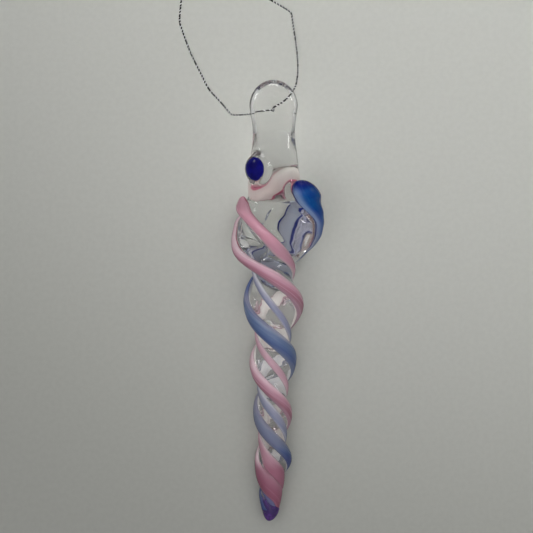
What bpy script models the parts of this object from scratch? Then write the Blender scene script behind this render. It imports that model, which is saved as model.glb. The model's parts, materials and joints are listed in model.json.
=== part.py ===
"""Icicle hanging ornament: a pierced, twisted rod of clear glass with coloured canes, on a loop of thread.

The ornament lies on its side on the ground plane z = 0, eye end towards +Y and front face towards +Z.
Lengths in this file are in millimetres; scaled() turns them into metres. The glass is described along its
own axis: s is the distance from the top of the eye end, and an azimuth is an angle round the axis, from the
front face towards +X. Four canes wind down the glass as a left-handed helix, each in a groove of the core.
"""

import math

import bmesh
import bpy
from mathutils import Matrix, Vector

MM = 0.001
GAP = 0.3  # between neighbouring solids
CLEAR = (0.86, 0.87, 0.86)
THREAD_COLOUR = (0.03, 0.03, 0.035)

# The glass and how it lies
GLASS_LENGTH = 127.0
EYE_S = 8.2  # from the top of the glass to the middle of the eye
EYE_PLACE = (-1.255, 55.114, 13.352)  # the middle of the eye, in the row frame
LEAN_DEG = 4.7  # the tip lies lower than the eye
ROLL_DEG = 1.24  # so that the glass rests on both rounded cane starts at its back, and near its tip

# The clear core: (s, half width) of its outline, and how far its axis strays sideways
HEAD_HALF_WIDTH = 6.9
HEAD_HALF_DEPTH = 4.6
LONG_RADIUS = (
    (7.6, 6.9), (15.0, 6.0), (22.0, 6.7), (29.4, 7.6), (34.0, 7.8), (38.0, 9.7), (41.0, 11.2),
    (44.0, 11.2), (46.7, 10.6), (50.0, 9.3), (55.0, 8.0), (64.0, 7.1), (74.0, 6.1), (84.0, 5.1), (96.4, 4.35),
    (109.0, 4.2), (114.0, 3.7), (118.5, 2.75), (123.0, 1.9),
)
SHORT_RADIUS = (
    (7.6, 6.9), (15.0, 6.0), (22.0, 6.7), (29.4, 7.6), (34.0, 7.9), (38.0, 9.8), (42.0, 9.2),
    (46.0, 7.6), (50.0, 6.1), (55.0, 5.1), (64.0, 4.7), (74.0, 4.3), (88.6, 3.6), (103.5, 3.2),
    (115.6, 2.7), (123.0, 1.7),
)
STRAY = (
    (0.0, 0.0), (15.0, 0.15), (29.4, 0.35), (40.0, 1.0), (43.0, 0.9), (46.7, 0.3), (50.0, -0.4),
    (55.0, 0.2), (64.0, 0.1), (103.5, 0.0), (109.0, 0.15), (115.0, -0.3), (121.0, -0.6), (127.0, -1.0),
)
DEPTH_ROUNDS_OFF = (9.0, 21.0)  # from here to here the flattened eye end becomes a round neck
CORE_END = 122.4

# How far round the first cane has wound: (s, degrees), on the crossing of the front face at 0
TWIST = (
    (34.0, -76.0), (38.0, -50.0), (47.0, 0.0), (55.6, 100.0), (65.6, 198.0), (73.7, 278.0), (82.0, 373.0),
    (89.5, 465.0), (103.5, 644.0), (109.3, 721.0), (115.0, 805.0), (122.0, 920.0), (127.0, 1000.0),
)

# The canes, in order round the core. phase: degrees from the first cane, (s, degrees) where it drifts.
# half_width lies along the surface, across the cane; half_depth along the radius; lift is how far the
# cane's middle stands off the core, as a share of half_depth
CANES = {
    "pink_cane_upper": {
        "start": 33.0, "rounded": 3.4, "sides": 8,
        "phase": ((33.0, -3.0), (40.0, -2.0), (50.0, 5.0), (58.0, 3.0), (70.0, 0.0), (100.0, 0.0),
                  (108.0, -5.0)),
        "half_width": ((36.0, 1.9), (42.0, 1.7), (48.0, 1.6), (54.0, 1.25), (82.0, 1.05), (104.0, 1.3),
                       (113.0, 2.0), (121.0, 1.2)),
        "half_depth": ((36.0, 1.7), (46.0, 1.2), (54.0, 0.9), (82.0, 0.75), (104.0, 0.85), (113.0, 0.9),
                       (121.0, 0.7)),
        "lift": ((36.0, 0.95), (46.0, 0.3), (54.0, 0.2)),
    },
    "blue_cane_broad": {
        "start": 28.1, "rounded": 4.2, "sides": 12,
        "phase": ((28.0, 124.0), (34.0, 131.0), (38.0, 129.0), (41.0, 118.0), (46.0, 102.0), (56.0, 93.0),
                  (66.0, 82.0), (74.0, 88.0), (121.0, 92.0)),
        "half_width": ((32.5, 4.0), (37.0, 3.0), (42.0, 1.8), (46.0, 1.7), (56.0, 2.2), (74.0, 2.3),
                       (103.0, 1.85), (121.0, 1.2)),
        "half_depth": ((32.5, 3.8), (36.5, 2.9), (41.0, 1.7), (46.0, 1.5), (55.0, 1.3), (103.0, 1.05),
                       (113.0, 1.0), (121.0, 0.7)),
        "lift": ((33.0, 0.75), (38.0, 0.6), (46.0, 0.2)),
    },
    "blue_cane_thin": {
        "start": 33.0, "rounded": 3.0, "sides": 8,
        "phase": ((33.0, 198.0), (46.0, 178.0), (75.0, 173.0), (96.0, 188.0), (110.0, 184.0), (121.0, 178.0)),
        "half_width": ((36.0, 1.8), (46.0, 1.3), (65.0, 1.0), (94.0, 1.35), (111.0, 1.1), (121.0, 0.8)),
        "half_depth": ((36.0, 2.05), (41.0, 1.75), (47.0, 1.1), (65.0, 0.8), (121.0, 0.7)),
        "lift": ((36.0, 0.8), (46.0, 0.2)),
    },
    "pink_cane_rear": {
        "start": 26.5, "rounded": 4.0, "sides": 10,
        "phase": ((26.5, 252.0), (34.6, 276.0), (40.0, 270.0), (46.0, 266.0), (57.0, 257.0), (100.0, 260.0),
                  (109.0, 255.0), (116.0, 243.0), (122.0, 240.0)),
        "half_width": ((30.0, 2.6), (40.0, 2.2), (46.0, 1.9), (63.0, 1.9), (96.0, 1.7), (113.0, 1.4), (121.0, 0.95)),
        "half_depth": ((30.0, 2.1), (36.0, 2.45), (40.0, 2.1), (46.0, 1.5), (64.0, 1.4), (96.0, 1.05),
                       (113.0, 1.0), (121.0, 0.7)),
        "lift": ((30.0, 0.9), (38.0, 0.5), (46.0, 0.2)),
    },
}
CAP_END = 33.0  # the cobalt cap is the rounded end of the broad blue cane, down to here
CANE_END = 122.4
SLICE = 1.75

# The round button on the neck, and the cobalt dot on it
DOT_S = 25.1
DOT_AZIMUTH = -45.0
GATHER_RADIUS = 5.4
GATHER_FACE = 8.05  # distance of the button's flat face from the axis
DOT_RADIUS = 3.4
DOT_EDGE, DOT_CROWN = 0.25, 0.45  # its thickness at the edge, and what the middle adds

# The violet tip
TIP_START = CORE_END + GAP
TIP_RADIUS = 2.75

# The eye and the thread
EYE_RADIUS = 1.25
EYE_CUT = 20.0  # length of the cutter, longer than the glass is deep
THREAD_RADIUS = 0.25
THREAD_POINTS = 78
KNOT_HALF = (1.3, 0.85, 0.8)
KNOT_TURN_DEG = 25.0
# The thread lies on the ground between its two bends. Its places count from the ground below the eye.
KNOT_PLACE = (-21.2, 46.1, 0.85)
# From the knot, down the left side and up to the back of the eye
LEFT_ROUTE = (
    (-23.2, 44.7, 0.5), (-25.9, 38.3, 0.27), (-27.0, 30.2, 0.27), (-27.2, 26.5, 0.27), (-26.5, 24.0, 0.27),
    (-24.0, 17.2, 0.27), (-21.0, 11.2, 0.27), (-18.7, 6.8, 0.27), (-15.1, 2.8, 0.27), (-12.9, 0.2, 0.4),
    (-11.9, -0.7, 0.9), (-8.9, -0.9, 2.7), (-5.7, -0.8, 4.9), (-2.4, -0.35, 7.0), (-0.6, -0.05, 7.9),
)
THROUGH_EYE = ((0.0, 0.0, 9.1), (0.0, 0.0, 13.3), (0.0, 0.0, 17.3))
# From the front of the eye, over the head, down to the ground and back to the knot
RIGHT_ROUTE = (
    (0.5, 0.2, 18.45), (2.6, 1.4, 18.75), (4.6, 3.3, 18.3), (6.1, 5.8, 16.9), (6.7, 8.2, 14.5),
    (7.0, 11.8, 10.4), (6.9, 16.0, 6.0), (6.4, 21.1, 2.1), (5.8, 25.1, 0.5), (5.3, 28.7, 0.27),
    (4.3, 29.7, 0.27), (0.2, 32.2, 0.27), (-6.1, 35.7, 0.27), (-13.1, 40.5, 0.27), (-18.8, 44.7, 0.5),
)
TAIL_LEFT = ((-22.8, 47.3, 0.5), (-25.1, 49.0, 0.27), (-27.6, 51.6, 0.27), (-28.6, 54.6, 0.27))
TAIL_RIGHT = ((-19.6, 47.7, 0.5), (-19.0, 49.9, 0.27), (-19.8, 52.5, 0.27), (-19.2, 55.1, 0.27))


def scaled(point):
    return Vector(point) * MM


def along(points, s):
    """The value at s of a smooth curve through (s, value) points, which doesn't overshoot them."""
    if s <= points[0][0]:
        return points[0][1]
    if s >= points[-1][0]:
        return points[-1][1]
    k = max(i for i in range(len(points) - 1) if points[i][0] <= s)
    (s0, v0), (s1, v1) = points[k], points[k + 1]
    step = (v1 - v0) / (s1 - s0)
    before = (v0 - points[k - 1][1]) / (s0 - points[k - 1][0]) if k > 0 else step
    after = (points[k + 2][1] - v1) / (points[k + 2][0] - s1) if k + 2 < len(points) else step
    slope0 = 2 * before * step / (before + step) if before * step > 0 else 0.0
    slope1 = 2 * after * step / (after + step) if after * step > 0 else 0.0
    t = (s - s0) / (s1 - s0)
    bend = (1 - t) * (slope0 * (s1 - s0) - (v1 - v0)) + t * ((v1 - v0) - slope1 * (s1 - s0))
    return v0 + t * (v1 - v0) + t * (1 - t) * bend


def ease(low, high, s):
    """0 below low, 1 above high, and smooth between them."""
    t = min(max((s - low) / (high - low), 0.0), 1.0)
    return t * t * (3 - 2 * t)


def place(s, azimuth, radius):
    """A point of the glass in its own frame, whose origin is the middle of the eye."""
    return Vector((
        along(STRAY, s) + radius * math.sin(azimuth),
        EYE_S - s,
        radius * math.cos(azimuth),
    )) * MM


def twist(s):
    return math.radians(along(TWIST, s))


def cane_azimuth(cane, s):
    return twist(s) + math.radians(along(cane["phase"], s))


def long_azimuth(s):
    """The direction in which the core is widest: from the rear pink cane to the broad blue one."""
    rear = cane_azimuth(CANES["pink_cane_rear"], s) - math.pi
    return (rear + cane_azimuth(CANES["blue_cane_broad"], s)) / 2


def core_radius(s, azimuth):
    """The clear core without its grooves."""
    head = HEAD_HALF_WIDTH * math.sqrt(max(1 - ((LONG_RADIUS[0][0] - s) / LONG_RADIUS[0][0]) ** 2, 0.0))
    wide = head if s < LONG_RADIUS[0][0] else along(LONG_RADIUS, s)
    narrow = head if s < SHORT_RADIUS[0][0] else along(SHORT_RADIUS, s)
    turned = azimuth - long_azimuth(s)
    radius = wide * narrow / math.hypot(narrow * math.cos(turned), wide * math.sin(turned))
    flat = HEAD_HALF_DEPTH / HEAD_HALF_WIDTH
    depth = flat + (1 - flat) * ease(*DEPTH_ROUNDS_OFF, s)
    return radius / math.hypot(math.sin(azimuth), math.cos(azimuth) / depth)


def cane_section(cane, s):
    """(azimuth, radius of the middle, half width in the slice, half depth) of a cane where s is constant."""
    azimuth, depth = cane_azimuth(cane, s), along(cane["half_depth"], s)
    radius = core_radius(s, azimuth) + along(cane["lift"], s) * depth
    turn = cane_azimuth(cane, s + 0.5) - cane_azimuth(cane, s - 0.5)
    stretched = along(cane["half_width"], s) * math.hypot(1, radius * turn)
    return azimuth, radius, stretched, depth


def rounding(cane, s):
    """The share of its full size that a cane has near its rounded start."""
    left = 1 - (s - cane["start"]) / cane["rounded"]
    if left <= 0:
        return 1.0
    return math.sqrt(max(1 - left * left, 0.0)) if s > cane["start"] else 0.0


def grooved_radius(s, azimuth):
    """The clear core's surface: its grooves hold the canes and the gap round them."""
    radius = core_radius(s, azimuth)
    for cane in CANES.values():
        share = rounding(cane, s)
        if share == 0:
            continue
        middle, out, width, depth = cane_section(cane, s)
        off = math.remainder(azimuth - middle, 2 * math.pi) * out / (width * share + GAP)
        if abs(off) < 1:
            radius = min(radius, out - (depth * share + GAP) * math.sqrt(1 - off * off))
    return radius


def ring_azimuths(s):
    """The directions of one ring of the core's points, close together in each groove: edges follow it."""
    found, spans = [], []
    for cane in CANES.values():
        middle, out, width, _ = cane_section(cane, max(s, cane["start"] + cane["rounded"]))
        spans.append((cane_azimuth(cane, s), (width + GAP) / out))
    for i, (middle, half) in enumerate(spans):
        following, following_half = spans[(i + 1) % len(spans)]
        found += [middle + half * math.sin(math.pi / 6 * k) for k in (-3, -2, -1, 0, 1, 2, 3)]
        start, end = middle + half, following - following_half + 2 * math.pi * (i + 1 == len(spans))
        found += [start + (end - start) * k / 4 for k in (1, 2, 3)]
    return found


def slices(start, end):
    count = math.ceil((end - start) / SLICE)
    return [start + (end - start) * k / count for k in range(count + 1)]


def new_object(name, mesh, parent, colour, roughness, transmission=0.0, metallic=0.0):
    obj = bpy.data.objects.new(name, mesh)
    bpy.context.scene.collection.objects.link(obj)
    obj.parent = parent
    material = bpy.data.materials.new(name)
    material.use_nodes = True
    shader = material.node_tree.nodes["Principled BSDF"]
    shader.inputs["Base Color"].default_value = (*colour, 1.0)
    shader.inputs["Roughness"].default_value = roughness
    shader.inputs["Metallic"].default_value = metallic
    shader.inputs["Transmission Weight"].default_value = transmission
    mesh.materials.append(material)
    return obj


def lofted(name, rings):
    """A closed mesh through rings of points, each ring counter-clockwise seen from the first towards the last.
    A ring of one point closes its end to that point."""
    bm = bmesh.new()
    made = [[bm.verts.new(p) for p in ring] for ring in rings]
    for ring, following in zip(made, made[1:]):
        n = max(len(ring), len(following))
        for k in range(n):
            corners = [ring[k % len(ring)], ring[(k + 1) % n % len(ring)]]
            corners += [following[(k + 1) % n % len(following)], following[k % len(following)]]
            bm.faces.new(list(dict.fromkeys(corners)))
    for ring in (made[0], made[-1]):
        if len(ring) > 1:
            bm.faces.new(ring)
    bmesh.ops.recalc_face_normals(bm, faces=bm.faces)
    bmesh.ops.triangulate(bm, faces=bm.faces)
    mesh = bpy.data.meshes.new(name)
    bm.to_mesh(mesh)
    bm.free()
    mesh.shade_smooth()
    mesh.set_sharp_from_angle(angle=math.radians(50))
    return mesh


def clear_core(parent):
    """The whole clear rod, eye end, neck and twisted shaft, pierced straight down through the eye."""
    stations = [0.5, 1.4, 2.8, 4.6, 6.6, 8.8, 11.2, 13.6, 16.2, 19.0, 22.0, 25.0] + slices(27.2, CORE_END)
    rings = [[place(0.0, 0.0, 0.0)]]
    rings += [[place(s, a, grooved_radius(s, a)) for a in ring_azimuths(s)] for s in stations]
    core = new_object("clear_glass_core", lofted("clear_glass_core", rings), parent, CLEAR, 0.03, 0.9)
    cutter = bpy.data.meshes.new("eye_cutter")
    bm = bmesh.new()
    radius = EYE_RADIUS * MM
    bmesh.ops.create_cone(bm, cap_ends=True, segments=24, radius1=radius, radius2=radius, depth=EYE_CUT * MM)
    bm.to_mesh(cutter)
    bm.free()
    hole = bpy.data.objects.new("eye_cutter", cutter)
    bpy.context.scene.collection.objects.link(hole)
    hole.location = scaled(EYE_PLACE)
    hole.hide_render = True
    hole.display_type = "WIRE"
    cut = core.modifiers.new("eye", "BOOLEAN")
    cut.operation = "DIFFERENCE"
    cut.object = hole


def cane_rings(cane, start, end):
    """Rings of points round a cane; a rounded start closes to a point."""
    rings = []
    for s in cane_stations(cane, start, end):
        share = rounding(cane, s)
        middle, out, width, depth = cane_section(cane, s)
        if share == 0:
            rings.append([place(s, middle, out)])
            continue
        turns = [2 * math.pi * k / cane["sides"] for k in range(cane["sides"])]
        wide, deep = width * share / out, depth * share
        rings.append([place(s, middle + wide * math.sin(t), out + deep * math.cos(t)) for t in turns])
    return rings


def cane_stations(cane, start, end):
    """Slices along a cane, close together over its rounded start."""
    full = cane["start"] + cane["rounded"]
    if start > cane["start"]:
        return slices(start, end)
    cap = [start + cane["rounded"] * share for share in (0.0, 0.06, 0.22, 0.45, 0.72)]
    return [s for s in cap if s < end] + (slices(full, end) if end > full + GAP else [end])


def canes(parent):
    colours = {
        "pink_cane_upper": (0.60, 0.25, 0.35), "pink_cane_rear": (0.56, 0.22, 0.32),
        "blue_cane_broad": (0.07, 0.13, 0.33), "blue_cane_thin": (0.23, 0.25, 0.38),
    }
    for name, cane in CANES.items():
        start = CAP_END if name == "blue_cane_broad" else cane["start"]
        mesh = lofted(name, cane_rings(cane, start, CANE_END))
        new_object(name, mesh, parent, colours[name], 0.12)
    broad = CANES["blue_cane_broad"]
    mesh = lofted("cobalt_cap", cane_rings(broad, broad["start"], CAP_END - GAP))
    new_object("cobalt_cap", mesh, parent, (0.0, 0.01, 0.22), 0.08)


def patch(name, rounds, sides, radius, inner, outer):
    """A closed disc laid on the neck round the middle of the dot: inner and outer give the distance from the
    axis at a share of the radius and an angle off the middle."""
    def ring(share, surface):
        points = []
        for k in range(sides):
            t = 2 * math.pi * k / sides
            off = radius * share * math.sin(t) / GATHER_FACE
            s = DOT_S + radius * share * math.cos(t)
            points.append(place(s, math.radians(DOT_AZIMUTH) + off, surface(s, share, off)))
        return points
    rings = [[ring(0.0, outer)[0]]] + [ring(share, outer) for share in rounds]
    rings += [ring(share, inner) for share in reversed(rounds)] + [[ring(0.0, inner)[0]]]
    return lofted(name, rings)


def button(parent):
    """The clear gather on the neck, flat where it carries the dot, and the cobalt dot."""
    def neck(s, share, off):
        return core_radius(s, math.radians(DOT_AZIMUTH) + off) + GAP

    def top(s, share, off):
        base = neck(s, share, off) + 0.25
        return base + (GATHER_FACE / math.cos(off) - base) * (1 - ease(0.66, 1.0, share))

    def dot_under(s, share, off):
        return (GATHER_FACE + GAP) / math.cos(off)

    def dot_top(s, share, off):
        thick = DOT_EDGE + DOT_CROWN * math.sqrt(1 - share * share)
        return (GATHER_FACE + GAP + thick) / math.cos(off)

    rounds = (0.3, 0.6, 0.72, 0.84, 0.93, 1.0)
    mesh = patch("clear_dot_gather", rounds, 28, GATHER_RADIUS, neck, top)
    new_object("clear_dot_gather", mesh, parent, CLEAR, 0.03, 0.9)
    rounds = (0.35, 0.65, 0.86, 1.0)
    mesh = patch("cobalt_dot", rounds, 28, DOT_RADIUS, dot_under, dot_top)
    new_object("cobalt_dot", mesh, parent, (0.0, 0.0, 0.12), 0.08)


def violet_tip(parent):
    """The drop of violet glass that closes the tip."""
    length = GLASS_LENGTH - TIP_START
    rings = []
    for share in (0.0, 0.25, 0.5, 0.7, 0.85, 0.95):
        radius = TIP_RADIUS * math.sqrt(1 - share * share) * (1 - 0.12 * share)
        s = TIP_START + share * length
        rings.append([place(s, 2 * math.pi * k / 20, radius) for k in range(20)])
    rings.append([place(GLASS_LENGTH, 0.0, 0.0)])
    new_object("violet_tip", lofted("violet_tip", rings), parent, (0.05, 0.008, 0.15), 0.1)


def smooth_route(points, count):
    """Evenly spaced points of a smooth curve through the given ones."""
    p = [Vector(point) for point in points]
    p = [2 * p[0] - p[1], *p, 2 * p[-1] - p[-2]]
    fine = []
    for a, b, c, d in zip(p, p[1:], p[2:], p[3:]):
        for k in range(40):
            t = k / 40
            bend = (2 * a - 5 * b + 4 * c - d) * t ** 2 + (3 * b - a - 3 * c + d) * t ** 3
            fine.append((2 * b + (c - a) * t + bend) / 2)
    fine.append(p[-2])
    runs = [0.0]
    for a, b in zip(fine, fine[1:]):
        runs.append(runs[-1] + (b - a).length)
    even, k = [], 0
    for i in range(count):
        target = runs[-1] * i / (count - 1)
        while k < len(fine) - 2 and runs[k + 1] < target:
            k += 1
        share = (target - runs[k]) / (runs[k + 1] - runs[k])
        even.append(fine[k].lerp(fine[k + 1], min(max(share, 0.0), 1.0)))
    return even


def from_eye(place_of_thread):
    """A place counted from the ground below the eye, as seen from the eye itself."""
    return scaled(place_of_thread) - scaled((0.0, 0.0, EYE_PLACE[2]))


def strand(name, points, count, pivot):
    """A stretch of thread as a curve with a round section, in the frame of the pivot."""
    curve = bpy.data.curves.new(name, "CURVE")
    curve.dimensions = "3D"
    curve.bevel_depth = THREAD_RADIUS * MM
    curve.bevel_resolution = 2
    curve.use_fill_caps = True
    spline = curve.splines.new("POLY")
    spline.points.add(count - 1)
    for point, where in zip(spline.points, smooth_route(points, count)):
        point.co = (*from_eye(where), 1.0)
    return new_object(name, curve, pivot, THREAD_COLOUR, 0.35, metallic=0.6)


def thread_loop(pivot):
    """The thread from the knot through the eye and back, the knot, and its two cut ends."""
    strand("hanging_thread", LEFT_ROUTE + THROUGH_EYE + RIGHT_ROUTE, THREAD_POINTS, pivot)
    strand("thread_tail_left", TAIL_LEFT, 7, pivot)
    strand("thread_tail_right", TAIL_RIGHT, 7, pivot)
    mesh = bpy.data.meshes.new("thread_knot")
    bm = bmesh.new()
    turn = Matrix.Rotation(math.radians(KNOT_TURN_DEG), 4, "Z") @ Matrix.Diagonal((*scaled(KNOT_HALF), 1.0))
    bmesh.ops.create_uvsphere(bm, u_segments=14, v_segments=9, radius=1.0, matrix=turn)
    bm.to_mesh(mesh)
    bm.free()
    mesh.shade_smooth()
    knot = new_object("thread_knot", mesh, pivot, THREAD_COLOUR, 0.35, metallic=0.6)
    knot.location = from_eye(KNOT_PLACE)


def empty(name):
    made = bpy.data.objects.new(name, None)
    bpy.context.scene.collection.objects.link(made)
    made.location = scaled(EYE_PLACE)
    return made


def main():
    for obj in list(bpy.data.objects):
        bpy.data.objects.remove(obj, do_unlink=True)
    glass = empty("glass_frame")
    glass.rotation_euler = (math.radians(LEAN_DEG), math.radians(ROLL_DEG), 0.0)
    clear_core(glass)
    canes(glass)
    button(glass)
    violet_tip(glass)
    thread_loop(empty("loop_pivot"))


main()
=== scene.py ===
"""Icicle hanging ornament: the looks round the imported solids.

The glass lies on its side, eye end towards +Y and front face towards +Z, as in part.py. Lengths here are in
millimetres, and MM turns them into metres; only the lamps and the clear glass's look are placed in metres. On the
glass, s is the distance from the top of the eye end along the axis, and an azimuth is an angle round the axis,
from the front face towards +X.
"""

import json
import math

import bpy
import numpy as np
from mathutils import Matrix, Vector


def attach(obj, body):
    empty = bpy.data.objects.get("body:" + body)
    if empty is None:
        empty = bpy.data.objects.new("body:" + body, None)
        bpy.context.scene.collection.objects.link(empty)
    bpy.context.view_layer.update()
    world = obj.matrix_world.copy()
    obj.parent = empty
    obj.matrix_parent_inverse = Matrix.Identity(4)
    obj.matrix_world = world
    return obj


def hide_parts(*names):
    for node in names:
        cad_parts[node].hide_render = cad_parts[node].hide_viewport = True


MM = 0.001

# The glass and how it lies
GLASS_LENGTH = 127.0
EYE_S = 8.2
LEAN_DEG, ROLL_DEG = 4.7, 1.24

# The clear glass: (s, half width) of its outline, and how far its axis strays sideways
HEAD_HALF_WIDTH = 6.9
HEAD_HALF_DEPTH = 4.6
LONG_RADIUS = (
    (7.6, 6.9), (15.0, 6.0), (22.0, 6.7), (29.4, 7.6), (34.0, 7.8), (38.0, 9.7), (41.0, 11.2),
    (44.0, 11.2), (46.7, 10.6), (50.0, 9.3), (55.0, 8.0), (64.0, 7.1), (74.0, 6.1), (84.0, 5.1), (96.4, 4.35),
    (109.0, 4.2), (114.0, 3.7), (118.5, 2.75), (123.0, 1.9),
)
SHORT_RADIUS = (
    (7.6, 6.9), (15.0, 6.0), (22.0, 6.7), (29.4, 7.6), (34.0, 7.9), (38.0, 9.8), (42.0, 9.2),
    (46.0, 7.6), (50.0, 6.1), (55.0, 5.1), (64.0, 4.7), (74.0, 4.3), (88.6, 3.6), (103.5, 3.2),
    (115.6, 2.7), (123.0, 1.7),
)
STRAY = (
    (0.0, 0.0), (15.0, 0.15), (29.4, 0.35), (40.0, 1.0), (43.0, 0.9), (46.7, 0.3), (50.0, -0.4),
    (55.0, 0.2), (64.0, 0.1), (103.5, 0.0), (109.0, 0.15), (115.0, -0.3), (121.0, -0.6), (127.0, -1.0),
)
DEPTH_ROUNDS_OFF = (9.0, 21.0)  # the flattened head turns into the round neck over this stretch
TWIST = (
    (34.0, -76.0), (38.0, -50.0), (47.0, 0.0), (55.6, 100.0), (65.6, 198.0), (73.7, 278.0), (82.0, 373.0),
    (89.5, 465.0), (103.5, 644.0), (109.3, 721.0), (115.0, 805.0), (122.0, 920.0), (127.0, 1000.0),
)

# The canes, by tables of (s, value). TWIST plus a cane's phase is its azimuth in degrees, and lift is how far its
# middle stands out of the clear glass, as a share of its half depth. They follow part.py's canes, apart from small
# turns and widths.
CANES = {
    "pink_cane_upper": {
        "start": 33.0, "rounded": 3.4,
        "phase": ((33.0, -3.0), (40.0, -2.0), (50.0, 5.0), (58.0, 3.0), (70.0, 0.0), (100.0, 0.0),
                  (104.0, -6.0), (108.0, -15.0), (111.0, -21.0), (116.0, -18.0), (121.0, -12.0)),
        "half_width": ((36.0, 1.9), (42.0, 1.7), (48.0, 1.6), (54.0, 1.25), (82.0, 1.05), (104.0, 1.35),
                       (112.0, 2.5), (118.0, 2.5), (121.0, 1.5)),
        "half_depth": ((36.0, 1.7), (46.0, 1.2), (54.0, 0.9), (82.0, 0.75), (104.0, 0.85), (113.0, 0.9),
                       (121.0, 0.7)),
        "lift": ((36.0, 0.95), (46.0, 0.3), (54.0, 0.2)),
    },
    "blue_cane_broad": {
        "start": 28.1, "rounded": 4.2,
        "phase": ((28.0, 122.0), (30.0, 126.0), (32.0, 131.0), (33.4, 135.4), (34.0, 137.5), (34.6, 135.9),
                  (36.0, 132.2), (38.0, 127.6), (39.5, 123.1), (41.0, 118.0), (46.0, 102.0), (56.0, 93.0),
                  (66.0, 82.0), (74.0, 88.0), (121.0, 92.0)),
        "half_width": ((32.5, 4.0), (37.0, 3.0), (42.0, 1.8), (46.0, 1.7), (56.0, 2.2), (74.0, 2.3),
                       (103.0, 1.85), (121.0, 1.2)),
        "half_depth": ((32.5, 3.8), (36.5, 2.9), (41.0, 1.7), (46.0, 1.5), (55.0, 1.3), (103.0, 1.05),
                       (113.0, 1.0), (121.0, 0.7)),
        "lift": ((33.0, 0.75), (38.0, 0.6), (46.0, 0.2)),
    },
    "blue_cane_thin": {
        "start": 33.0, "rounded": 3.0,
        "phase": ((33.0, 214.0), (38.8, 208.0), (42.2, 195.0), (47.0, 181.0), (75.0, 173.0), (96.0, 188.0),
                  (110.0, 184.0), (121.0, 178.0)),
        "half_width": ((36.0, 1.8), (46.0, 1.3), (65.0, 1.0), (94.0, 1.35), (111.0, 1.1), (121.0, 0.8)),
        "half_depth": ((36.0, 1.4), (41.0, 1.4), (47.0, 1.1), (65.0, 0.8), (121.0, 0.7)),
        "lift": ((36.0, 0.1), (46.0, 0.2)),
    },
    "pink_cane_rear": {
        "start": 24.6, "rounded": 4.0,
        "phase": ((25.0, 240.0), (31.0, 256.0), (34.6, 268.0), (40.0, 270.0), (46.0, 266.0), (57.0, 257.0),
                  (100.0, 260.0), (109.0, 255.0), (116.0, 243.0), (122.0, 240.0)),
        "half_width": ((28.0, 1.3), (34.0, 1.5), (40.0, 2.1), (46.0, 1.9), (63.0, 1.9), (96.0, 1.7),
                       (109.0, 2.0), (114.0, 2.9), (118.0, 2.7), (121.0, 1.7)),
        "half_depth": ((30.0, 2.0), (36.0, 2.15), (40.0, 2.0), (46.0, 1.5), (64.0, 1.4), (96.0, 1.05),
                       (113.0, 1.0), (121.0, 0.7)),
        "lift": ((30.0, 0.75), (38.0, 0.45), (46.0, 0.2)),
    },
}
CANE_END = 123.4
CANE_SIDES, CANE_STEP = 28, 0.4
OUTSIDE_SHARE = 0.56  # this share of a cane's section, from its outermost line, shows its coloured skin
# The clear glass climbs the canes' flanks: by this share of a cane's half depth, at most so high, from so far
# inside its edge to so far out
HUG_HEIGHT, HUG_MOST, HUG_START, HUG_REACH = 0.3, 0.9, -0.2, 1.6
SKIN_STEP, SKIN_SIDES = 0.4, 160

# The clear button on the neck, and the cobalt dot
DOT_S, DOT_AZIMUTH = 25.1, math.radians(-45.0)
GATHER_RADIUS, GATHER_FACE = 5.4, 8.05
GATHER_EDGE = (0.62, 1.02)  # its face rounds off between these shares of its radius
DOT_RADIUS, DOT_EDGE, DOT_CROWN, DOT_SUNK = 3.4, 0.55, 0.45, 0.4

CORE_END = 124.2
TIP_START, TIP_LIP, TIP_RADIUS = 120.9, 1.2, 2.75
TIP_MOUTH = 2.2  # radius where the violet glass starts, which widens to TIP_RADIUS over TIP_LIP
TIP_SLANT = 1.6  # the violet glass starts this much higher on the left of the front face

EYE_RADIUS = 1.25
EYE_LIP, EYE_LIP_DEG = 0.9, 80.0  # radius and sweep of the rounding at each mouth of the eye
EYE_SUNK = 0.25  # the rounding ends this far below the head's own half depth
EYE_FLARE = (3.0, 0.9)  # the cutter's last ring stands this much wider and higher

# The thread, by places counted from the ground below the eye, as in part.py
THREAD_RADIUS = 0.25
# The yarn's radius goes from mean plus swing over its two plies to mean less swing between them, as shares of
# THREAD_RADIUS, and the plies make so many half turns in a mm
PLY_MEAN, PLY_SWING, PLY_TURNS = 0.92, 0.08, 0.9
YARN_SIDES, YARN_STEP = 10, 0.16
ROUTE_STEPS = 40  # steps between two points of a route
KNOT_HALF = (1.3, 0.85, 0.8)
KNOT_YARN = 1.15  # the yarn is this much thicker where it is pulled into the knot
KNOT_TURN_DEG = 25.0
KNOT_PLACE = (-21.2, 46.1, 0.85)
LEFT_ROUTE = (
    (-23.2, 44.7, 0.5), (-25.9, 38.3, 0.27), (-27.0, 30.2, 0.27), (-27.2, 26.5, 0.27), (-26.5, 24.0, 0.27),
    (-24.0, 17.2, 0.27), (-21.0, 11.2, 0.27), (-18.7, 6.8, 0.27), (-15.1, 2.8, 0.27), (-12.9, 0.2, 0.4),
    (-11.9, -0.7, 0.9), (-8.9, -0.9, 2.7), (-5.7, -0.65, 4.9), (-2.4, 0.2, 6.9), (-0.6, 0.45, 7.8),
)
THROUGH_EYE = ((0.0, 0.0, 9.1), (0.0, 0.0, 13.3), (0.0, 0.0, 17.3))
RIGHT_ROUTE = (
    (0.5, 0.2, 18.45), (2.6, 1.4, 18.75), (4.6, 3.3, 18.3), (6.1, 5.8, 16.9), (6.7, 8.2, 14.5),
    (7.0, 11.8, 10.4), (6.9, 16.0, 6.0), (6.4, 21.1, 2.1), (5.8, 25.1, 0.5), (5.3, 28.7, 0.27),
    (4.3, 29.7, 0.27), (0.2, 32.2, 0.27), (-6.1, 35.7, 0.27), (-13.1, 40.5, 0.27), (-18.8, 44.7, 0.5),
)
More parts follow.
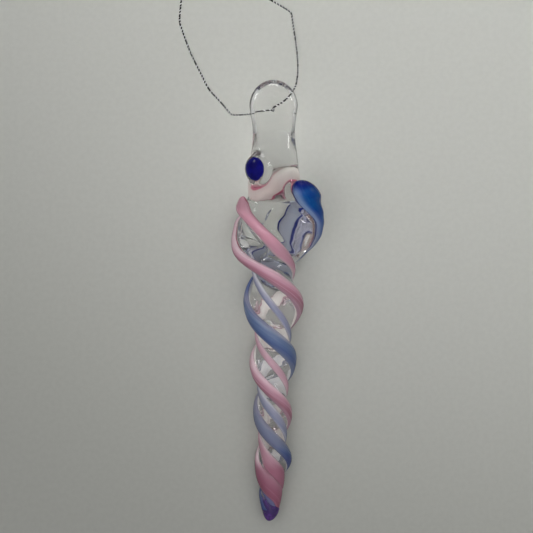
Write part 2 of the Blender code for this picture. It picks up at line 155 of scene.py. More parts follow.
TAIL_LEFT = ((-22.8, 47.3, 0.5), (-25.1, 49.0, 0.27), (-27.6, 51.6, 0.27), (-28.6, 54.6, 0.27))
TAIL_RIGHT = ((-19.6, 47.7, 0.5), (-19.0, 49.9, 0.27), (-19.8, 52.5, 0.27), (-19.2, 55.1, 0.27))

# The clear glass's look, along the shared frame's axes in metres. The glass's base colours below are evenly
# spaced up Y from CLEAR_LOW, on the shaft, to CLEAR_HIGH, at the eye: the glass is darker where it is thick, and
# its darkening at the bulge and neck is partly painted shade
CLEAR_LOW, CLEAR_HIGH = -0.01, 0.055
GLASS_TINT_AND_SHADE = (0.91, 0.88, 0.7, 0.68, 0.8, 0.93)
# The shaft is a little satiny, and the left of the shoulder is folded. Lamps shine through, dimmed by these
SATIN_Y, SATIN_TRANSMISSION = (0.012, -0.01), 0.9
FOLDS_Y, FOLDS_SOFT, FOLDS_X = (0.01, 0.025), 0.006, (0.0, -0.005)
SHADOW_FACING, SHADOW_SLANTED = (0.84, 0.84, 0.84, 1.0), (0.4, 0.4, 0.4, 1.0)

# The camera looks straight down
CAMERA_PLACE = (-3.2, 10.29, 550.0)
CAMERA_LENS = 127.6

FLOOR_REACH = 4.0
# The soft lamp over the object lights the floor most towards the upper right
LAMP_PLACE, LAMP_AIM = (0.035, 0.116, 0.288), (0.155, 0.3, 0.0)
LAMP_SIZE, LAMP_SPREAD, LAMP_POWER = 0.46, 1.94, 0.52
# A wide sheet of light high above fills the shadows
FILL_PLACE, FILL_AIM = (0.0, 0.0, 3.0), (0.0, 0.0, 0.0)
FILL_SIZE, FILL_SPREAD, FILL_POWER = 8.0, math.pi, 118.0
# Bright panels low in the room, as (name, place, (width, height), power), all facing GLINT_AIM
GLINT_AIM = (0.0, 0.03, 0.0)
GLINTS = (
    ("far_panel", (0.02, 0.9, 0.16), (0.5, 0.2), 1.5),
    ("left_panel", (-0.8, 0.45, 0.12), (0.25, 0.12), 0.8),
    ("right_panel", (0.85, 0.4, 0.14), (0.25, 0.12), 0.8),
)
# The room's brightness by height above the horizon, as (sine of the elevation, brightness)
ROOM = ((0.0, 0.18), (0.07, 0.58), (0.42, 0.6), (0.6, 0.42), (0.85, 0.16), (1.0, 0.01))

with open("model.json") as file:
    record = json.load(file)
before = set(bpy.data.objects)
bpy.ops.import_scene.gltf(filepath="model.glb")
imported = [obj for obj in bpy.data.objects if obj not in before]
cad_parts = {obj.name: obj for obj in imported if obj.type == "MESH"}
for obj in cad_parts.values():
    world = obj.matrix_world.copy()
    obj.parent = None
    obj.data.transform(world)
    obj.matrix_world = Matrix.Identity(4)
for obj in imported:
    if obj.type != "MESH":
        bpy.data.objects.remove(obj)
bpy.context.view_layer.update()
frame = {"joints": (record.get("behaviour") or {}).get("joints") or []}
EYE = Vector(frame["joints"][0]["pos_m"])  # the middle of the eye
GLASS_TURN = np.array(
    Matrix.Rotation(math.radians(ROLL_DEG), 3, "Y") @ Matrix.Rotation(math.radians(LEAN_DEG), 3, "X"))


# ---------- camera, and what every piece is made with ----------

def camera():
    data = bpy.data.cameras.new("camera")
    data.lens = CAMERA_LENS
    data.clip_start = 0.01
    obj = bpy.data.objects.new("camera", data)
    bpy.context.scene.collection.objects.link(obj)
    obj.location = Vector(CAMERA_PLACE) * MM
    bpy.context.scene.camera = obj


def new_object(name, mesh, body, *materials):
    obj = bpy.data.objects.new(name, mesh)
    bpy.context.scene.collection.objects.link(obj)
    for material in materials:
        mesh.materials.append(material)
    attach(obj, body)
    return obj


def grid_mesh(name, rings, uv=None):
    """A closed mesh through rings of points, an array of shape (rings, points, 3) in metres, with a cap on its
    first and last. uv gives one (u, v) for each point of each ring, with one more column for the seam."""
    count, around, _ = rings.shape
    index = np.arange(count * around).reshape(count, around)
    following = np.roll(index, -1, axis=1)
    quads = np.stack([index[:-1], index[1:], following[1:], following[:-1]], axis=-1).reshape(-1, 4)
    faces = quads.tolist() + [index[0].tolist(), index[-1, ::-1].tolist()]
    mesh = bpy.data.meshes.new(name)
    mesh.from_pydata(rings.reshape(-1, 3).tolist(), [], faces)
    if uv is not None:
        corners = np.stack([uv[:-1, :-1], uv[1:, :-1], uv[1:, 1:], uv[:-1, 1:]], axis=2).reshape(-1, 2)
        layer = mesh.uv_layers.new(name="along")
        flat = np.zeros((len(mesh.loops), 2))
        flat[:len(corners)] = corners
        layer.data.foreach_set("uv", flat.ravel())
    mesh.shade_smooth()
    return mesh


# ---------- materials ----------

def linear(*rgb):
    """A colour given as 8-bit sRGB, as shaders take it."""
    shares = [c / 255 for c in rgb]
    return (*[c / 12.92 if c < 0.04045 else ((c + 0.055) / 1.055) ** 2.4 for c in shares], 1.0)


class Look:
    """A material whose nodes are made one call each."""

    def __init__(self, name, **shader_values):
        self.material = bpy.data.materials.new(name)
        self.material.use_nodes = True
        self.tree = self.material.node_tree
        self.shader = self.tree.nodes["Principled BSDF"]
        self.output = self.tree.nodes["Material Output"]
        for socket, value in shader_values.items():
            self.shader.inputs[socket.replace("_", " ")].default_value = value

    def set(self, socket, value):
        self.put(self.shader.inputs[socket], value)

    def put(self, socket, value):
        if isinstance(value, bpy.types.NodeSocket):
            self.tree.links.new(value, socket)
        elif value is not None:
            socket.default_value = value

    def math(self, operation, a, b=None):
        made = self.tree.nodes.new("ShaderNodeMath")
        made.operation = operation
        self.put(made.inputs[0], a)
        self.put(made.inputs[1], b)
        return made.outputs[0]

    def mix(self, share, a, b):
        """Colour a where share is 0, and b where it is 1."""
        made = self.tree.nodes.new("ShaderNodeMix")
        made.data_type = "RGBA"
        self.put(made.inputs["Factor"], share)
        self.put(made.inputs[6], a)
        self.put(made.inputs[7], b)
        return made.outputs[2]

    def ramp(self, share, colours):
        """The colours, evenly spread over 0 to 1."""
        made = self.tree.nodes.new("ShaderNodeValToRGB")
        stops = made.color_ramp.elements
        while len(stops) < len(colours):
            stops.new(1.0)
        for k, (stop, colour) in enumerate(zip(stops, colours)):
            stop.position = k / (len(colours) - 1)
            stop.color = colour
        self.put(made.inputs[0], share)
        return made.outputs[0]

    def ease(self, value, low, high, out_low=0.0, out_high=1.0):
        """From out_low at low to out_high at high, and constant beyond. low may be the greater."""
        made = self.tree.nodes.new("ShaderNodeMapRange")
        made.interpolation_type = "SMOOTHSTEP"
        for socket, number in zip(made.inputs, (value, low, high, out_low, out_high)):
            self.put(socket, number)
        return made.outputs[0]

    def within(self, value, low, high, soft):
        """1 where value lies between low and high, easing to 0 over soft beyond each."""
        return self.times(self.ease(value, low - soft, low), self.ease(value, high + soft, high))

    def times(self, a, b):
        return self.math("MULTIPLY", a, b)

    def along(self):
        """(u, v) of the piece: u runs from -1 to 1 round a cane, 0 at its outermost line, and v is s in mm."""
        uv = self.tree.nodes.new("ShaderNodeUVMap")
        uv.uv_map = "along"
        split = self.tree.nodes.new("ShaderNodeSeparateXYZ")
        self.tree.links.new(uv.outputs[0], split.inputs[0])
        return split.outputs[0], split.outputs[1]

    def vector(self, x, y, z=0.0):
        made = self.tree.nodes.new("ShaderNodeCombineXYZ")
        for socket, number in zip(made.inputs, (x, y, z)):
            self.put(socket, number)
        return made.outputs[0]

    def object_place(self):
        return self.tree.nodes.new("ShaderNodeTexCoord").outputs["Object"]

    def noise(self, vector, scale, detail=2.0, roughness=0.5, distortion=0.0):
        made = self.tree.nodes.new("ShaderNodeTexNoise")
        self.put(made.inputs["Vector"], vector)
        for socket, number in (("Scale", scale), ("Detail", detail), ("Roughness", roughness),
                               ("Distortion", distortion)):
            made.inputs[socket].default_value = number
        return made.outputs[0]

    def bump(self, height, distance, strength=1.0, normal=None):
        made = self.tree.nodes.new("ShaderNodeBump")
        made.inputs["Strength"].default_value = strength
        made.inputs["Distance"].default_value = distance
        self.put(made.inputs["Height"], height)
        self.put(made.inputs["Normal"], normal)
        self.tree.links.new(made.outputs[0], self.shader.inputs["Normal"])
        return made.outputs[0]


def clear_glass():
    """Clear glass with the slow ripples of flame-worked rod, and folds on the left of the shoulder. Its base
    colour darkens it where it is thick, and at the bulge and neck this is partly painted shade. Lamps shine
    through it, dimmed most where they meet it at a slant."""
    look = Look("clear_glass_look", Roughness=0.0, IOR=1.5)
    place = look.object_place()
    split = look.tree.nodes.new("ShaderNodeSeparateXYZ")
    look.put(split.inputs[0], place)
    x, y = split.outputs[0], split.outputs[1]
    look.set("Transmission Weight", look.ease(y, *SATIN_Y, 1.0, SATIN_TRANSMISSION))
    height = look.math("DIVIDE", look.math("SUBTRACT", y, CLEAR_LOW), CLEAR_HIGH - CLEAR_LOW)
    # Darker at the bulge and neck: partly thick glass, partly painted shade
    look.set("Base Color", look.ramp(height, [(c, c, c * 0.995, 1.0) for c in GLASS_TINT_AND_SHADE]))
    folds = look.ease(look.noise(place, 190.0, 0.0, 0.5, 0.8), 0.5, 0.75)
    folds = look.times(look.times(folds, look.within(y, *FOLDS_Y, FOLDS_SOFT)), look.ease(x, *FOLDS_X))
    ripples = look.bump(look.noise(place, 130.0, 1.5), 0.00035, 0.5)
    look.bump(folds, 0.0009, 0.7, ripples)
    path = look.tree.nodes.new("ShaderNodeLightPath")
    slant = look.tree.nodes.new("ShaderNodeLayerWeight").outputs["Facing"]
    through = look.tree.nodes.new("ShaderNodeBsdfTransparent")
    look.put(through.inputs[0], look.mix(look.ease(slant, 0.1, 0.75), SHADOW_FACING, SHADOW_SLANTED))
    blend = look.tree.nodes.new("ShaderNodeMixShader")
    look.put(blend.inputs[0], path.outputs["Is Shadow Ray"])
    look.put(blend.inputs[1], look.shader.outputs[0])
    look.put(blend.inputs[2], through.outputs[0])
    look.put(look.output.inputs["Surface"], blend.outputs[0])
    return look.material


def cane_outside(name, across, streak, seed, shades):
    """Coloured glass pulled out along the cane, with streaks its whole length. across holds the colours over it,
    from its lower edge to its upper one: a painted shade darkens its lower side and a painted highlight lightens
    its upper edge, while its greyer lower edge is the clear glass beside it. shades holds (start, end, colour,
    share) for stretches where the colour is lighter or darker."""
    look = Look(name, Roughness=0.24, IOR=1.5, Specular_IOR_Level=0.36)
    u, v = look.along()
    height = look.math("SINE", look.times(u, math.pi))
    wander = look.noise(look.vector(0.0, look.times(v, 0.16), seed + 7.0), 1.0)
    place = look.math("ADD", look.times(height, 0.5), look.times(wander, 0.3))
    # The colours across paint shade on the cane's lower side and a highlight on its upper edge
    colour = look.ramp(look.math("ADD", place, 0.35), across)
    streaks = look.noise(look.vector(look.times(u, 9.0), look.times(v, 0.05), seed), 1.0, 3.0, 0.6)
    colour = look.mix(look.ease(streaks, 0.42, 0.72, 0.0, 0.7), colour, streak)
    for start, end, shade, share in shades:
        colour = look.mix(look.times(look.within(v, start, end, 4.0), share), colour, shade)
    look.set("Base Color", colour)
    look.set("Roughness", look.ease(streaks, 0.3, 0.7, 0.2, 0.3))
    look.bump(streaks, 0.0001, 0.35)
    return look


def cane_inside(name, start, until, middle, edge, seed):
    """The side of a cane that lies in the clear glass: pale, as painted light that stands for the light shining
    through the coloured glass, with its coloured skin seen edge-on. It has the start colour down to where s is
    until."""
    look = Look(name, Roughness=0.6, Specular_IOR_Level=0.0)
    u, v = look.along()
    from_edge = look.math("ABSOLUTE", u)
    clouds = look.noise(look.vector(look.times(u, 4.0), look.times(v, 0.12), seed), 1.0, 3.0)
    # The pale middle is painted light, for light shining through the coloured glass
    pale = look.mix(look.ease(clouds, 0.3, 0.8), middle[0], middle[1])
    pale = look.mix(look.ease(v, until + 8.0, until), pale, start)
    skin = look.ease(v, 54.0, 46.0, 0.6, 0.7)
    inside = look.mix(look.ease(look.math("SUBTRACT", from_edge, skin), -0.015, 0.02), edge, pale)
    inside = look.mix(look.ease(v, 25.0, 31.0, 0.9, 0.0), inside, linear(186, 184, 178))
    look.set("Base Color", inside)
    return look.material


def make_looks():
    """The material of each piece. The canes' colours run from the lower edge to the upper one, with painted shade
    on the lower side and a painted highlight on the upper edge.
    """
    looks = {"clear_glass": clear_glass()}
    # From the lower edge up: the second colour is painted shade and the last a painted highlight
    pink = (linear(196, 170, 178), linear(188, 138, 156), linear(190, 142, 158), linear(188, 142, 158),
            linear(200, 178, 184))
    rose = (linear(168, 138, 152), linear(154, 102, 120), linear(176, 122, 142), linear(212, 166, 182),
            linear(236, 212, 220))
    blue = (linear(116, 126, 150), linear(70, 90, 138), linear(94, 114, 152), linear(108, 126, 158),
            linear(166, 166, 184))
    pale = (linear(170, 170, 184), linear(132, 138, 164), linear(150, 152, 172), linear(164, 164, 182),
            linear(204, 204, 210))
    pink_shades = (
        (30.0, 44.0, linear(206, 148, 166), 0.85), (74.0, 88.0, linear(208, 176, 188), 0.45),
        (112.0, 124.0, linear(150, 80, 108), 0.7),
    )
    rose_shades = (
        (18.0, 26.0, linear(186, 184, 178), 0.9), (112.0, 124.0, linear(146, 76, 104), 0.75),
    )
    blue_shades = (
        (52.0, 59.0, linear(46, 82, 148), 0.75), (88.0, 103.0, linear(134, 132, 152), 0.5),
        (109.0, 126.0, linear(46, 60, 124), 0.8),
    )
    pale_shades = (
        (112.0, 124.0, linear(88, 86, 134), 0.85),
    )
    looks["pink_cane_upper"] = cane_outside(
        "pink_glass_look", pink, linear(176, 124, 144), 1.0, pink_shades).material
    looks["pink_cane_rear"] = cane_outside(
        "rose_glass_look", rose, linear(188, 140, 158), 4.0, rose_shades).material
    looks["blue_cane_broad"] = cobalt_to_steel(
        cane_outside("blue_glass_look", blue, linear(58, 78, 132), 9.0, blue_shades))
    looks["blue_cane_thin"] = cane_outside(
        "pale_blue_glass_look", pale, linear(120, 124, 164), 13.0, pale_shades).material
    looks["pink_inside"] = cane_inside(
        "pink_glass_inside", linear(182, 168, 164), 46.0, (linear(236, 233, 228), linear(226, 214, 212)),
        linear(160, 84, 106), 2.0)
    looks["blue_inside"] = cane_inside(
        "blue_glass_inside", linear(136, 140, 152), 58.0, (linear(236, 235, 234), linear(216, 216, 222)),
        linear(20, 32, 104), 5.0)
    looks["cobalt_dot"] = cobalt_dot_look()
    looks["violet_tip"] = violet_look()
    looks["thread"] = thread_look()
    return looks


def cobalt_to_steel(look):
    """The rounded start of the broad blue cane is gathered cobalt glass, whitened on its left side by a painted
    reflection.
    """
    u, v = look.along()
    body = look.shader.inputs["Base Color"].links[0].from_socket
    swirl = look.noise(look.vector(look.times(u, 3.0), look.times(v, 0.22), 3.0), 1.0, 3.0, 0.6)
    bead = look.mix(look.ease(swirl, 0.35, 0.7), linear(3, 56, 130), linear(8, 80, 142))
    # A painted reflection whitens the bead's left side
    painted_left_reflection = look.times(look.ease(u, -0.26, -0.46), look.ease(v, 29.0, 32.5, 0.0, 0.85))
    bead = look.mix(painted_left_reflection, bead, linear(134, 154, 190))
    top = look.math("MAXIMUM", look.ease(v, 31.4, 29.0), look.ease(u, 0.16, 0.45))
    bead = look.mix(top, bead, linear(4, 22, 116))
    look.set("Base Color", look.mix(look.ease(v, 36.0, 44.0), bead, body))
    look.set("Specular IOR Level", look.ease(v, 36.0, 44.0, 0.12, 0.36))
    return look.material


def cobalt_dot_look():
    look = Look("cobalt_glass_look", Roughness=0.1, IOR=1.5, Specular_IOR_Level=0.12)
    clouds = look.noise(look.object_place(), 420.0, 2.0)
    look.set("Base Color", look.mix(look.ease(clouds, 0.35, 0.7), linear(2, 0, 84), linear(4, 2, 104)))
    look.bump(clouds, 0.00005, 0.3)
    return look.material


def violet_look():
    """Deep violet glass, swirled with the colours of the canes that end in it."""
    look = Look("violet_glass_look", Roughness=0.18, IOR=1.5, Specular_IOR_Level=0.45)
    u, v = look.along()
    swirl = look.noise(look.vector(look.times(u, 3.2), look.times(v, 0.5), 6.0), 1.0, 3.0, 0.6, 0.8)
    colour = look.mix(look.ease(swirl, 0.4, 0.65), linear(50, 14, 96), linear(84, 34, 132))
    colour = look.mix(look.ease(swirl, 0.66, 0.82, 0.0, 0.7), colour, linear(40, 52, 142))
    look.set("Base Color", colour)
    look.bump(swirl, 0.0001, 0.3)
    return look.material


def thread_look():
    """Black yarn wound with silver foil: the foil's turns are painted white where a noise picks them, partly the
    silver of the foil and partly a painted glint.
    """
    look = Look("metallic_thread_look", Specular_IOR_Level=0.2)
    u, v = look.along()
    turn = look.math("FRACT", look.math("ADD", look.times(v, 1.05), look.times(u, 0.5)))
    foil = look.math("LESS_THAN", turn, 0.34)
    # The glint noise picks where the foil is painted white, a painted glint
    glint = look.noise(look.vector(look.times(v, 0.9), 0.0, 2.0), 1.0, 2.0)
    foil_and_painted_glint = look.times(foil, look.ease(glint, 0.41, 0.53))
    look.set("Base Color", look.mix(foil_and_painted_glint, linear(2, 2, 3), linear(250, 250, 252)))
    look.set("Metallic", look.times(foil_and_painted_glint, 0.3))
    look.set("Roughness", look.ease(foil_and_painted_glint, 0.0, 1.0, 0.7, 0.35))
    return look.material


# ---------- glass ----------

def along(points, s):
    """The value at s of a smooth curve through (s, value) points, which doesn't overshoot them."""
    if s <= points[0][0]:
        return points[0][1]
    if s >= points[-1][0]:
        return points[-1][1]
    k = max(i for i in range(len(points) - 1) if points[i][0] <= s)
    (s0, v0), (s1, v1) = points[k], points[k + 1]
    step = (v1 - v0) / (s1 - s0)
    before = (v0 - points[k - 1][1]) / (s0 - points[k - 1][0]) if k > 0 else step
    after = (points[k + 2][1] - v1) / (points[k + 2][0] - s1) if k + 2 < len(points) else step
    slope0 = 2 * before * step / (before + step) if before * step > 0 else 0.0
    slope1 = 2 * after * step / (after + step) if after * step > 0 else 0.0
    t = (s - s0) / (s1 - s0)
    bend = (1 - t) * (slope0 * (s1 - s0) - (v1 - v0)) + t * ((v1 - v0) - slope1 * (s1 - s0))
    return v0 + t * (v1 - v0) + t * (1 - t) * bend


def ease(low, high, value):
    t = np.clip((value - low) / (high - low), 0.0, 1.0)
    return t * t * (3 - 2 * t)


def in_frame(s, azimuth, radius):
    """Places on the glass, in metres in the shared frame. azimuth and radius may be arrays."""
    azimuth, radius = np.broadcast_arrays(np.asarray(azimuth, float), np.asarray(radius, float))
    local = np.stack([
        along(STRAY, s) + radius * np.sin(azimuth),
        np.full(azimuth.shape, EYE_S - s),
        radius * np.cos(azimuth),
    ], axis=-1) * MM
    return local @ GLASS_TURN.T + np.array(EYE)


def cane_azimuth(cane, s):
    return math.radians(along(TWIST, s) + along(cane["phase"], s))


def core_radius(s, azimuth):
    """The clear glass without its grooves. azimuth may be an array."""
    head = HEAD_HALF_WIDTH * math.sqrt(max(1 - ((LONG_RADIUS[0][0] - s) / LONG_RADIUS[0][0]) ** 2, 0.0))
    wide = head if s < LONG_RADIUS[0][0] else along(LONG_RADIUS, s)
    narrow = head if s < SHORT_RADIUS[0][0] else along(SHORT_RADIUS, s)
    rear = cane_azimuth(CANES["pink_cane_rear"], s) - math.pi
    turned = azimuth - (rear + cane_azimuth(CANES["blue_cane_broad"], s)) / 2
    radius = wide * narrow / np.hypot(narrow * np.cos(turned), wide * np.sin(turned))
    flat = HEAD_HALF_DEPTH / HEAD_HALF_WIDTH
    depth = flat + (1 - flat) * ease(*DEPTH_ROUNDS_OFF, s)
    return radius / np.hypot(np.sin(azimuth), np.cos(azimuth) / depth)


def cane_section(cane, s):
    """(azimuth, radius of the middle, half width in the slice, half depth) of a cane where s is constant."""
    azimuth, depth = cane_azimuth(cane, s), along(cane["half_depth"], s)
    radius = float(core_radius(s, azimuth)) + along(cane["lift"], s) * depth
    turn = cane_azimuth(cane, s + 0.5) - cane_azimuth(cane, s - 0.5)
    return azimuth, radius, along(cane["half_width"], s) * math.hypot(1, radius * turn), depth


def rounding(cane, s):
    """The share of its full section that a cane has at s, where its start rounds off."""
    left = 1 - (s - cane["start"]) / cane["rounded"]
    if left <= 0:
        return 1.0
    return math.sqrt(max(1 - left * left, 0.0)) if s > cane["start"] else 0.0


def off_azimuth(azimuth, middle):
    """How far azimuth is from middle, from -pi to pi."""
    return np.remainder(azimuth - middle + math.pi, 2 * math.pi) - math.pi


def skin_radius(s, azimuth):
    """The clear glass as it is seen: it climbs up the flanks of each cane and swells into the button."""
    radius = core_radius(s, azimuth)
    rise = np.zeros_like(radius)
    for cane in CANES.values():
        share = rounding(cane, s)
        if share < 0.05:
            continue
        middle, out, width, depth = cane_section(cane, s)
        climb = min((along(cane["lift"], s) + HUG_HEIGHT) * depth, HUG_MOST) * ease(0.0, 1.0, share ** 2)
        beyond = np.abs(off_azimuth(azimuth, middle)) * out - width * share
        rise += (climb * (1 - ease(HUG_START, HUG_REACH * (0.5 + climb), beyond))) ** 4
    radius = radius + rise ** 0.25
    off = off_azimuth(azimuth, DOT_AZIMUTH)
    share = np.hypot(s - DOT_S, off * GATHER_FACE) / GATHER_RADIUS
    face = GATHER_FACE / np.cos(np.clip(off, -1.2, 1.2))
    return radius + np.maximum(face - radius, 0.0) * (1 - ease(*GATHER_EDGE, share))


def spaced(start, end, step):
    """Evenly spaced stations from start to end, at most step apart."""
    return np.linspace(start, end, max(int(math.ceil((end - start) / step)), 1) + 1)


def clear_body(looks):
    """The clear rod with its eye end, neck, button and twisted shaft, pierced through the eye."""
    head = LONG_RADIUS[0][0] * (1 - np.cos(np.linspace(0.03, math.pi / 2, 26)))
    stations = np.concatenate([head, spaced(LONG_RADIUS[0][0], CORE_END, SKIN_STEP)[1:]])
    azimuths = np.linspace(0, 2 * math.pi, SKIN_SIDES, endpoint=False)
    rings = np.stack([in_frame(s, azimuths, skin_radius(s, azimuths)) for s in stations])
    mesh = grid_mesh("clear_glass_body", rings)
    body = new_object("clear_glass_body", mesh, "icicle", looks["clear_glass"])
    cutter = new_object("eye_cutter", eye_cutter(), "icicle")
    cut = body.modifiers.new("eye", "BOOLEAN")
    cut.object = cutter
    cut.operation = "DIFFERENCE"
    cut.solver = "EXACT"
    bpy.context.view_layer.update()
    pierced = bpy.data.meshes.new_from_object(body.evaluated_get(bpy.context.evaluated_depsgraph_get()))
    body.modifiers.clear()
    body.data = pierced
    bpy.data.objects.remove(cutter, do_unlink=True)
    pierced.shade_smooth()
    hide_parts("clear_glass_core", "clear_dot_gather")


def eye_cutter():
    """A pin through the eye, flared at both ends so that the mouths of the eye are rounded."""
    edge = HEAD_HALF_DEPTH - EYE_SUNK
    profile = [(EYE_RADIUS, edge - EYE_LIP)]
    for k in range(1, 9):
        t = k / 8 * math.radians(EYE_LIP_DEG)
        profile.append((EYE_RADIUS + EYE_LIP * (1 - math.cos(t)), edge - EYE_LIP + EYE_LIP * math.sin(t)))
    profile.append((EYE_RADIUS + EYE_FLARE[0], edge + EYE_FLARE[1]))
    profile = [(r, -h) for r, h in reversed(profile)] + profile
    turns = np.linspace(0, 2 * math.pi, 48, endpoint=False)
    rings = np.stack([
        np.stack([r * np.cos(turns), r * np.sin(turns), np.full(turns.shape, h)], axis=1) for r, h in profile
    ]) * MM + np.array(EYE)
    return grid_mesh("eye_cutter", rings)


def cane_pieces(looks):
    """The four canes, each a closed tube with its coloured skin outside and a pale face in the clear glass."""
    turns = np.linspace(-math.pi, math.pi, CANE_SIDES + 1)
    for name, cane in CANES.items():
        cap = cane["start"] + cane["rounded"] * (1 - np.cos(np.linspace(0.12, math.pi / 2, 14)))
        stations = np.concatenate([cap, spaced(cap[-1], CANE_END, CANE_STEP)[1:]])
        rings, uv = [], []
        for s in stations:
            share = rounding(cane, s)
            middle, out, width, depth = cane_section(cane, s)
            wide, deep = width * share / out, depth * share
            t = turns[:-1]
            rings.append(in_frame(s, middle + wide * np.sin(t), out + deep * np.cos(t)))
            uv.append(np.stack([turns / math.pi, np.full(turns.shape, s)], axis=1))
        mesh = grid_mesh(name + "_glass", np.stack(rings), uv=np.stack(uv))
        inner = "pink_inside" if name.startswith("pink") else "blue_inside"
        piece = new_object(name + "_glass", mesh, "icicle", looks[name], looks[inner])
        shares = np.abs(turns[:-1] + math.pi / CANE_SIDES) / math.pi
        inside = np.zeros(len(mesh.polygons), np.int32)
        inside[:(len(stations) - 1) * CANE_SIDES] = np.tile(shares > OUTSIDE_SHARE, len(stations) - 1)
        mesh.polygons.foreach_set("material_index", inside)
        nodes = (name, "cobalt_cap") if name == "blue_cane_broad" else (name,)
        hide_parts(*nodes)


def dot(looks):
    """The domed cobalt dot, sunk a little into the button."""
    shares = np.sin(np.linspace(0.04, math.pi / 2, 18))
    turns = np.linspace(0, 2 * math.pi, 64, endpoint=False)
    dome = DOT_EDGE + DOT_CROWN
    rings = []
    for share in shares:
        fall = (dome + 0.35) * (1 - (1 - share ** 2.4) ** 0.5)
        rings.append(dot_ring(share, turns, GATHER_FACE + dome - fall))
    for share in shares[::-1]:
        rings.append(dot_ring(share * 0.99, turns, GATHER_FACE - DOT_SUNK))
    mesh = grid_mesh("cobalt_dot_glass", np.stack(rings))
    piece = new_object("cobalt_dot_glass", mesh, "icicle", looks["cobalt_dot"])
    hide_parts("cobalt_dot")


def dot_ring(share, turns, height):
    """A ring of the dot at a share of its radius, and at a height over the glass's axis."""
    points = []
    for t in turns:
        off = DOT_RADIUS * share * math.sin(t) / GATHER_FACE
        s = DOT_S + DOT_RADIUS * share * math.cos(t)
        points.append(in_frame(s, DOT_AZIMUTH + off, height / math.cos(off)))
    return np.stack(points)


def tip(looks):
    """The violet drop, which closes smoothly round the ends of the canes."""
    turns = np.linspace(-math.pi, math.pi, 49)
    rings, uv = [], []
    length = GLASS_LENGTH - TIP_START
    outline = []
    for k in range(8):
        widening = math.sin(k / 8 * math.pi / 2)
        outline.append((TIP_START + TIP_LIP * k / 8, TIP_MOUTH + (TIP_RADIUS - TIP_MOUTH) * widening))
    for t in np.linspace(0.0, math.pi / 2 - 0.04, 18):
        share = math.sin(t)
        radius = TIP_RADIUS * math.sqrt(1 - share * share) * (1 - 0.12 * share)
        outline.append((TIP_START + TIP_LIP + share * (length - TIP_LIP), radius))
    for s, radius in outline:
        slant = TIP_SLANT * (GLASS_LENGTH - s) / length
        rings.append(np.stack([in_frame(s + slant * math.sin(turn), turn, radius) for turn in turns[:-1]]))
        uv.append(np.stack([np.abs(turns) / math.pi, np.full(turns.shape, s)], axis=1))
    mesh = grid_mesh("violet_tip_glass", np.stack(rings), uv=np.stack(uv))
    piece = new_object("violet_tip_glass", mesh, "icicle", looks["violet_tip"])
    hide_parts("violet_tip")


# ---------- thread ----------

def smooth_route(points, count):
    """Evenly spaced points of a smooth curve through the given ones, and the curve's length."""
    p = [Vector(point) for point in points]
    p = [2 * p[0] - p[1], *p, 2 * p[-1] - p[-2]]
    fine = []
    for a, b, c, d in zip(p, p[1:], p[2:], p[3:]):
        for k in range(ROUTE_STEPS):
            t = k / ROUTE_STEPS
            bend = (2 * a - 5 * b + 4 * c - d) * t ** 2 + (3 * b - a - 3 * c + d) * t ** 3
            fine.append((2 * b + (c - a) * t + bend) / 2)
    fine.append(p[-2])
    fine = np.array(fine)
    runs = np.concatenate([[0.0], np.cumsum(np.linalg.norm(np.diff(fine, axis=0), axis=1))])
    even = np.linspace(0, runs[-1], count)
    return np.stack([np.interp(even, runs, fine[:, k]) for k in range(3)], axis=1), runs[-1]


def from_ground(points):
    """Places of the thread, counted from the ground below the eye, in metres in the shared frame."""
    return np.asarray(points, float) * MM + np.array((EYE.x, EYE.y, 0.0))


def yarn(name, points, radius, looks, seed=0.0):
    """A tube of two-ply yarn along evenly spaced points in metres. seed moves its foil along."""
    turns = np.linspace(0, 2 * math.pi, YARN_SIDES + 1)
    forward = np.gradient(points, axis=0)
    forward /= np.linalg.norm(forward, axis=1)[:, None]
    runs = np.concatenate([[0.0], np.cumsum(np.linalg.norm(np.diff(points, axis=0), axis=1))]) / MM
    side = np.cross(forward[0], (0.0, 0.0, 1.0)) if abs(forward[0][2]) < 0.9 else np.array((1.0, 0.0, 0.0))
    rings, uv = [], []
    for point, way, run in zip(points, forward, runs):
        side = side - way * (side @ way)
        side /= np.linalg.norm(side)
        up = np.cross(side, way)
        lobes = PLY_MEAN + PLY_SWING * np.cos(2 * (turns[:-1] - math.pi * PLY_TURNS * run))
        ring = np.cos(turns[:-1])[:, None] * side + np.sin(turns[:-1])[:, None] * up
        rings.append(point + ring * (lobes * radius * MM)[:, None])
        uv.append(np.stack([turns / math.pi - 1, np.full(turns.shape, run + seed)], axis=1))
    mesh = grid_mesh(name, np.stack(rings), uv=np.stack(uv))
    piece = new_object(name, mesh, "hanging_loop", looks["thread"])
    return piece


def evenly(points):
    """The smooth curve through points counted from the ground below the eye, stepped evenly, in metres, and its
    length in mm."""
    _, length = smooth_route(points, 2)
    even, _ = smooth_route(points, int(length / YARN_STEP) + 1)
    return from_ground(even), length


def thread(looks):
    """The loop from the knot through the eye and back, the knot, and its two cut tails."""
    line, length = evenly(LEFT_ROUTE + THROUGH_EYE + RIGHT_ROUTE)
    loop = yarn("thread_loop_yarn", line, THREAD_RADIUS, looks)
    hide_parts("hanging_thread")
    for name, tail, seed in (("thread_tail_left", TAIL_LEFT, 31.0), ("thread_tail_right", TAIL_RIGHT, 57.0)):
        points, _ = evenly(tail)
        piece = yarn(name + "_yarn", points, THREAD_RADIUS, looks, seed=seed)
        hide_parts(name)
    knot = knot_yarn(looks)


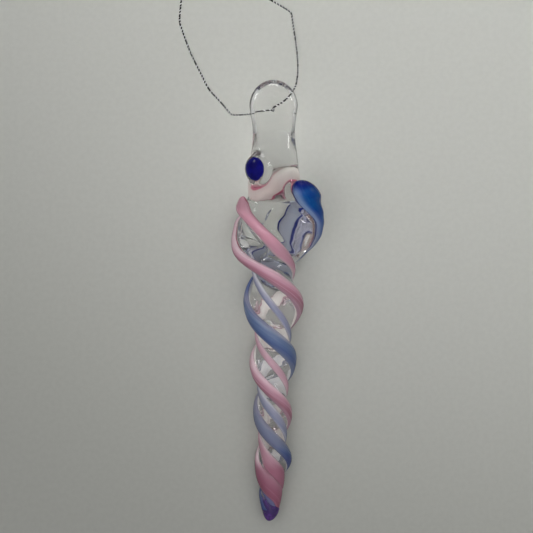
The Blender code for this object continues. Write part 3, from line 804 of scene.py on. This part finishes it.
def knot_yarn(looks):
    """An overhand knot pulled tight: a trefoil of the same yarn."""
    t = np.linspace(0, 2 * math.pi, 160)
    trefoil = np.stack([np.sin(t) + 2 * np.sin(2 * t), np.cos(t) - 2 * np.cos(2 * t), -np.sin(3 * t)], axis=1)
    reach = np.array(KNOT_HALF) - THREAD_RADIUS * 1.1
    trefoil *= reach / np.abs(trefoil).max(0)
    turn = np.array(Matrix.Rotation(math.radians(KNOT_TURN_DEG), 3, "Z"))
    points = from_ground(trefoil @ turn.T + np.array(KNOT_PLACE))
    piece = yarn("thread_knot_yarn", points, THREAD_RADIUS * KNOT_YARN, looks, seed=80.0)
    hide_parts("thread_knot")
    return piece


# ---------- surroundings ----------

def floor():
    mesh = bpy.data.meshes.new("floor")
    corners = [(x * FLOOR_REACH, y * FLOOR_REACH, 0) for x, y in ((-1, -1), (1, -1), (1, 1), (-1, 1))]
    mesh.from_pydata(corners, [], [(0, 1, 2, 3)])
    obj = bpy.data.objects.new("floor", mesh)
    bpy.context.scene.collection.objects.link(obj)
    look = Look("pale_paper", Roughness=0.9, Specular_IOR_Level=0.1)
    grain = look.noise(look.object_place(), 700.0, 3.0)
    look.set("Base Color", look.mix(look.ease(grain, 0.3, 0.7), linear(187, 188, 182), linear(190, 191, 185)))
    look.bump(grain, 0.00001, 0.1)
    mesh.materials.append(look.material)


def area_lamp(name, place, aim, power):
    """A lamp that the camera doesn't see, facing aim."""
    data = bpy.data.lights.new(name, "AREA")
    data.energy = power
    lamp = bpy.data.objects.new(name, data)
    bpy.context.scene.collection.objects.link(lamp)
    lamp.location = place
    lamp.rotation_euler = (Vector(aim) - Vector(place)).to_track_quat("-Z", "Y").to_euler()
    lamp.visible_camera = False
    return lamp


def lights():
    """Two soft lamps that glass doesn't mirror, and panels that only glass mirrors."""
    for name, place, aim, size, spread, power in (
        ("soft_lamp", LAMP_PLACE, LAMP_AIM, LAMP_SIZE, LAMP_SPREAD, LAMP_POWER),
        ("fill", FILL_PLACE, FILL_AIM, FILL_SIZE, FILL_SPREAD, FILL_POWER),
    ):
        data = area_lamp(name, place, aim, power).data
        data.shape = "DISK"
        data.size = size
        data.spread = spread
        data.cycles.use_multiple_importance_sampling = False
    for name, place, size, power in GLINTS:
        glint = area_lamp(name, place, GLINT_AIM, power)
        glint.data.shape = "RECTANGLE"
        glint.data.size, glint.data.size_y = size
        glint.visible_diffuse = False


def room():
    """What glass mirrors and bends: grey walls, darkest straight overhead. It lights nothing itself."""
    world = bpy.data.worlds.new("room")
    world.use_nodes = True
    tree = world.node_tree
    split = tree.nodes.new("ShaderNodeSeparateXYZ")
    tree.links.new(tree.nodes.new("ShaderNodeTexCoord").outputs["Generated"], split.inputs[0])
    ramp = tree.nodes.new("ShaderNodeValToRGB")
    tree.links.new(split.outputs[2], ramp.inputs[0])
    stops = ramp.color_ramp.elements
    while len(stops) < len(ROOM):
        stops.new(1.0)
    for stop, (height, bright) in zip(stops, ROOM):
        stop.position = height
        stop.color = (bright, bright, bright * 0.975, 1.0)
    tree.links.new(ramp.outputs[0], tree.nodes["Background"].inputs[0])
    world.cycles_visibility.diffuse = False
    bpy.context.scene.world = world
    bpy.context.scene.view_settings.view_transform = "Standard"
    bpy.context.scene.view_settings.look = "None"


def main():
    camera()
    looks = make_looks()
    thread(looks)
    clear_body(looks)
    cane_pieces(looks)
    dot(looks)
    tip(looks)
    floor()
    lights()
    room()
    bpy.context.view_layer.update()


main()
